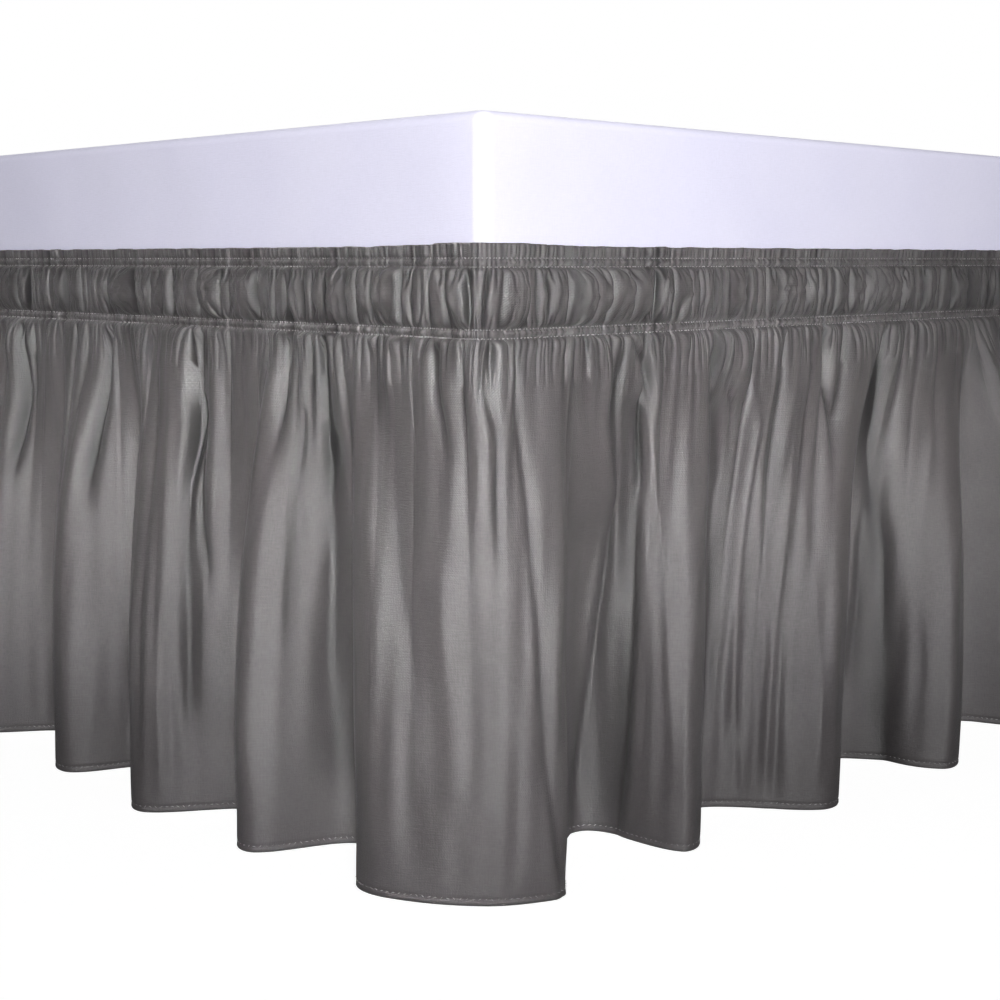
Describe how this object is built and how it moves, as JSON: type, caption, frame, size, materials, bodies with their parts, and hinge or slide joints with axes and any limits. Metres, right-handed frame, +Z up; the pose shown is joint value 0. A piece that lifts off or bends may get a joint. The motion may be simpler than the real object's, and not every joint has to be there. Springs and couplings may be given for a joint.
{
  "type": "bed skirt on a bed base",
  "caption": "Gathered wrap-around bed skirt, shirred on elastic and falling in deep folds to the floor, on a plain upholstered bed base with round legs.",
  "frame": {"origin": "centre of the bounding box in plan, on the floor", "axes": "+Z up, +Y towards the head of the bed, +X across the bed"},
  "size_m": [1.1598, 2.072, 0.487],
  "materials": {
    "skirt_cloth": "brushed microfibre, dark warm grey with a soft satin sheen",
    "elastic_tape": "woven elastic tape",
    "base_fabric": "plain pale lavender upholstery cloth",
    "leg_plastic": "matt black moulded"
  },
  "bodies": {
    "root": {"skirt_foot_left": "skirt_cloth", "skirt_foot_right": "skirt_cloth", "skirt_head_right": "skirt_cloth", "skirt_head_left": "skirt_cloth", "elastic_upper": "elastic_tape", "elastic_lower": "elastic_tape", "bed_base": "base_fabric", "leg_1": "leg_plastic", "leg_2": "leg_plastic", "leg_3": "leg_plastic", "leg_4": "leg_plastic", "leg_5": "leg_plastic", "leg_6": "leg_plastic"}
  },
  "joints": []
}
